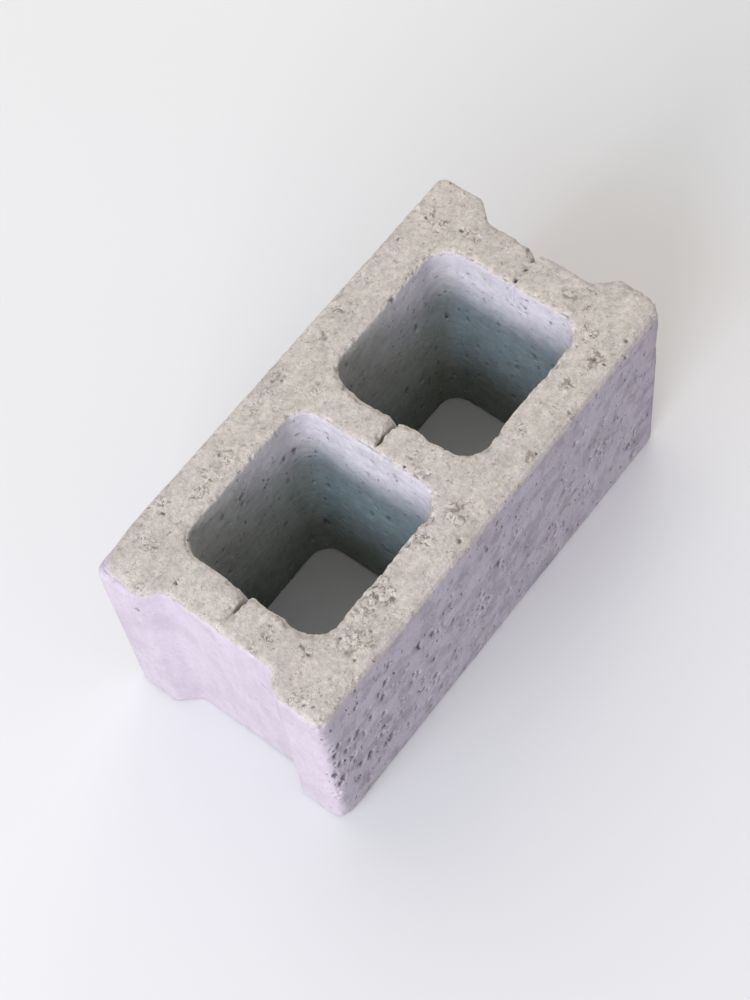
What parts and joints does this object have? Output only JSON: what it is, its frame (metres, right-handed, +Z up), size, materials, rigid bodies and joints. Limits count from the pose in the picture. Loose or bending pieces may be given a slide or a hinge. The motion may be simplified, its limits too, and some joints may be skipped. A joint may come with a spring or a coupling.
{
  "type": "concrete block",
  "caption": "Hollow concrete building block with open tapered cells, a shallow mortar recess down each end and narrow core-bar slots across the webs, laid in mortar to build walls.",
  "frame": {"origin": "middle of the bottom bed face, on the floor", "axes": "+X along the block's length, +Y across its width, +Z up towards the wide mouths of the cells"},
  "size_m": [0.4, 0.2, 0.19],
  "materials": {
    "concrete": "dry-cast grey concrete: open sandy texture on top, closer moulded texture on the sides"
  },
  "bodies": {
    "root": {"hollow_block": "concrete"}
  },
  "joints": []
}
